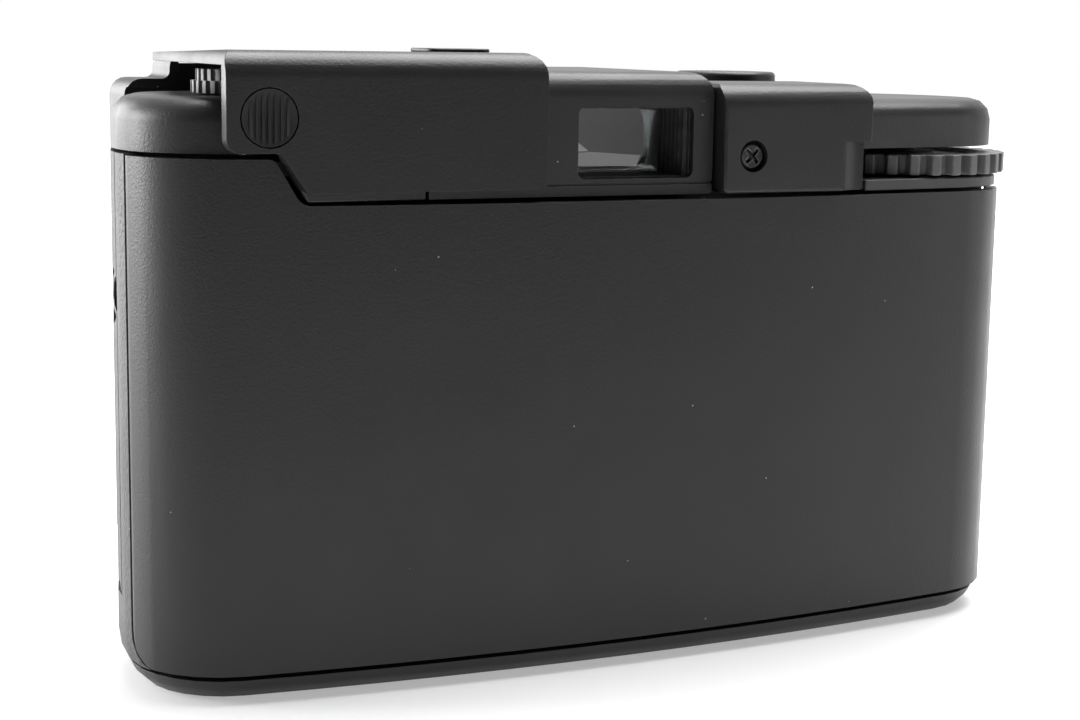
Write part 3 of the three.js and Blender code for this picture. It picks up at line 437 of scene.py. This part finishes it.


# The finder's picture, painted light on glowing panes, in millimetres: how far it stays inside the eyepiece
# lens's outline, its gap to the lens, how much nearer to the eye the painted band and glint stand, and the
# bow of its right end.
PICTURE_INSET = {"left": 0.2, "right": 0.1, "bottom": 0.3, "top": 0.2}
PICTURE_GAP = 0.3
OVERLAY_LIFT = 0.1
FIELD_THICKNESS = 0.3
OVERLAY_THICKNESS = 0.08
BOW_DEPTH = 0.9
BOW_STEPS = (0.25, 0.5, 0.7, 0.85, 1.0)


def finder_field(left, right, bottom, top):
    """The whole picture's outline, a rectangle whose right end is bowed outwards."""
    middle = (bottom + top) / 2
    half = (top - bottom) / 2
    heights = [-step for step in reversed(BOW_STEPS)] + [0.0, *BOW_STEPS]
    bow = [(right - BOW_DEPTH * height ** 4, middle + half * height) for height in heights]
    return [(left, bottom), *bow, (left, top)]


def painted_finder_view():
    """Painted light in the eyepiece: a dimly glowing field bowed at its right, a paler glowing band at its
    foot, and a glowing glint, a painted highlight.
    """
    low, high = box_mm("eyepiece_lens")
    left = low.x + PICTURE_INSET["left"]
    right = high.x - PICTURE_INSET["right"]
    bottom = low.z + PICTURE_INSET["bottom"]
    top = high.z - PICTURE_INSET["top"]
    band = [(left, bottom), (right - BOW_DEPTH, bottom), (right - 0.4, bottom + 1.1),
            (left + 6.0, bottom + 1.5), (left, bottom + 1.2)]
    glint = [(left + 4.0, bottom + 1.55), (left + 5.6, bottom + 1.6), (left + 4.4, bottom + 2.5)]
    field_y = high.y + PICTURE_GAP
    overlay_y = field_y - OVERLAY_LIFT
    # Each pane glows by its tone, though no lamp is there: painted light for the field, a paler painted band
    # and a painted highlight.
    panes = [
        ("painted_finder_view", finder_field(left, right, bottom, top), field_y, FIELD_THICKNESS, 0.06),
        ("finder_painted_band", band, overlay_y, OVERLAY_THICKNESS, 0.17),
        ("finder_glint", glint, overlay_y, OVERLAY_THICKNESS, 0.21),
    ]
    for name, outline, y, thickness, tone in panes:
        vertices, faces = prisms([upright(outline, y)], (0, thickness, 0))
        piece_from(name, vertices, faces, painted_finder_glow(name, tone), "camera_body")


# The tunnel's lining between the housing's rear face and the eyepiece lens, in millimetres: how far it stands
# outside the lens's outline, its gaps to the rear face and to the lens, its wall, and its ribs.
SLEEVE_MARGIN = 0.25
SLEEVE_REAR_GAP = 0.7
SLEEVE_GLASS_GAP = 0.2
SLEEVE_WALL = 0.12
RIB_COUNT = 7
RIB_FIRST = 0.5
RIB_PITCH = 0.9
RIB_FOOT = 0.4
RIB_HEIGHT = 0.35
RIB_SLOPE = 0.1


def sleeve_walls(x, y, z):
    """The outlines of the left, right, bottom and top wall at y."""
    inner_x = (x[0] + SLEEVE_WALL, x[1] - SLEEVE_WALL)
    walls = [
        rectangle((x[0], inner_x[0]), z),
        rectangle((inner_x[1], x[1]), z),
        rectangle(inner_x, (z[0], z[0] + SLEEVE_WALL)),
        rectangle(inner_x, (z[1] - SLEEVE_WALL, z[1])),
    ]
    return [upright(wall, y) for wall in walls]


def sleeve_ribs(wall_x, rear_y, z):
    """The outlines at z of the ribs on the inside of the right wall."""
    ribs = []
    for i in range(RIB_COUNT):
        start = rear_y + RIB_FIRST + RIB_PITCH * i
        end = start + RIB_FOOT
        crest_x = wall_x - RIB_HEIGHT
        foot = [(wall_x, start, z), (wall_x, end, z)]
        crest = [(crest_x, end - RIB_SLOPE, z), (crest_x, start + RIB_SLOPE, z)]
        ribs.append(foot + crest)
    return ribs


def tunnel_sleeve():
    """A black lining on the four walls of the eyepiece's tunnel, with upright ribs on the right."""
    lens_low, lens_high = box_mm("eyepiece_lens")
    housing_low, _ = box_mm("viewfinder_housing")
    x = (lens_low.x - SLEEVE_MARGIN, lens_high.x + SLEEVE_MARGIN)
    y = (housing_low.y + SLEEVE_REAR_GAP, lens_low.y - SLEEVE_GLASS_GAP)
    z = (lens_low.z - SLEEVE_MARGIN, lens_high.z + SLEEVE_MARGIN)
    walls, wall_faces = prisms(sleeve_walls(x, y[0], z), (0, y[1] - y[0], 0))
    outlines = sleeve_ribs(x[1] - SLEEVE_WALL, y[0], z[0])
    ribs, rib_faces = prisms(outlines, (0, 0, z[1] - z[0]), start=len(walls))
    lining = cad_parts["film_gate"].data.materials[0]
    piece_from("tunnel_sleeve", walls + ribs, wall_faces + rib_faces, lining, "camera_body")


# The frame counter's marks, in millimetres from the middle of its dial.
MARK_COUNT = 36
MARK_INNER = 1.5
MARK_OUTER = 2.6
MARK_THICKNESS = 0.05


def mark_width(number):
    """Every third mark is a wide one."""
    return 0.22 if number % 3 == 0 else 0.12


def counter_marks():
    """Short painted strokes round the top of the frame counter's dial."""
    low, high = box_mm("counter_dial")
    centre = (low + high) / 2
    strokes = []
    for i in range(MARK_COUNT):
        angle = 2 * math.pi * i / MARK_COUNT
        out = Vector((math.cos(angle), math.sin(angle)))
        side = Vector((-out.y, out.x)) * (mark_width(i) / 2)
        near, far = out * MARK_INNER, out * MARK_OUTER
        corners = [near - side, far - side, far + side, near + side]
        strokes.append([(centre.x + corner.x, centre.y + corner.y, high.z) for corner in corners])
    vertices, faces = prisms(strokes, (0, 0, MARK_THICKNESS))
    piece_from("counter_marks", vertices, faces, painted_marks(), "counter")


def add_detail():
    painted_finder_view()
    tunnel_sleeve()
    counter_marks()


# ---------------------------------------------------------------- studio

def aimed(eye, target):
    """A matrix at eye that looks at target."""
    turn = (Vector(target) - Vector(eye)).to_track_quat("-Z", "Y")
    return Matrix.Translation(Vector(eye)) @ turn.to_matrix().to_4x4()


def photo_axes():
    """The photographer's right, up and backward directions, with the photograph's small roll."""
    ahead = Vector((math.sin(YAW) * math.cos(PITCH), math.cos(YAW) * math.cos(PITCH), -math.sin(PITCH)))
    right = Vector((math.cos(YAW), -math.sin(YAW), 0.0))
    up = right.cross(ahead)
    rolled_right = right * math.cos(ROLL) + up * math.sin(ROLL)
    rolled_up = up * math.cos(ROLL) - right * math.sin(ROLL)
    return rolled_right, rolled_up, -ahead


def photo_camera():
    """Stands where the photograph was taken from."""
    data = bpy.data.cameras.new("photo_camera")
    data.lens = LENS_MM
    data.sensor_width = SENSOR_MM
    data.clip_start = 0.01
    camera = bpy.data.objects.new("photo_camera", data)
    turn = Matrix(photo_axes()).transposed().to_4x4()
    camera.matrix_world = Matrix.Translation(Vector(EYE_MM) * MM) @ turn
    bpy.context.scene.collection.objects.link(camera)
    bpy.context.scene.camera = camera


def floor():
    """A square floor 6 m across, at the height of the camera body's base."""
    half = 3.0
    corners = [(-half, -half, 0), (half, -half, 0), (half, half, 0), (-half, half, 0)]
    mesh = bpy.data.meshes.new("studio_floor")
    mesh.from_pydata(corners, [], [(0, 1, 2, 3)])
    mesh.materials.append(studio_floor())
    plane = bpy.data.objects.new("studio_floor", mesh)
    bpy.context.scene.collection.objects.link(plane)


# Each soft panel: where it stands, its width and height in metres, and its power in watts.
PANELS = {
    "front_left_panel": ((-0.56, 0.86, 0.22), (0.85, 0.60), 10.0),
    "left_panel": ((-0.94, 0.45, 0.26), (0.34, 0.50), 11.0),
    "top_panel": ((0.26, 0.14, 0.84), (0.80, 0.60), 17.0),
    "right_panel": ((0.85, -0.50, 0.22), (0.50, 0.40), 1.2),
}
PANELS_FACE = (0.0, 0.0, 0.03)

# How bright the room is behind the photographer and in front of the camera body, and the y parts of the
# directions between which it goes from one to the other.
REAR_LIGHT = 0.13
FRONT_LIGHT = 1.0
REAR_Y = -0.5
FRONT_Y = 0.5


def panels():
    for name, (place, (width, height), power) in PANELS.items():
        data = bpy.data.lights.new(name, "AREA")
        data.shape = "RECTANGLE"
        data.size = width
        data.size_y = height
        data.energy = power
        light = bpy.data.objects.new(name, data)
        light.matrix_world = aimed(place, PANELS_FACE)
        bpy.context.scene.collection.objects.link(light)


def studio_sky():
    """A white room, brightest in front of the camera body and dimmer behind it."""
    world = bpy.data.worlds.new("studio")
    world.use_nodes = True
    bpy.context.scene.world = world
    tree = world.node_tree
    sky = tree.nodes["Background"]
    direction = tree.nodes.new("ShaderNodeTexCoord")
    parts = tree.nodes.new("ShaderNodeSeparateXYZ")
    ramp = tree.nodes.new("ShaderNodeMapRange")
    ramp.interpolation_type = "SMOOTHSTEP"
    ramp.inputs["From Min"].default_value = REAR_Y
    ramp.inputs["From Max"].default_value = FRONT_Y
    ramp.inputs["To Min"].default_value = REAR_LIGHT
    ramp.inputs["To Max"].default_value = FRONT_LIGHT
    tree.links.new(direction.outputs["Generated"], parts.inputs["Vector"])
    tree.links.new(parts.outputs["Y"], ramp.inputs["Value"])
    tree.links.new(ramp.outputs["Result"], sky.inputs["Strength"])
    sky.inputs["Color"].default_value = (1.0, 1.0, 1.0, 1.0)
    bpy.context.scene.view_settings.view_transform = "Standard"


dress_packed_pieces()
add_detail()
photo_camera()
floor()
panels()
studio_sky()
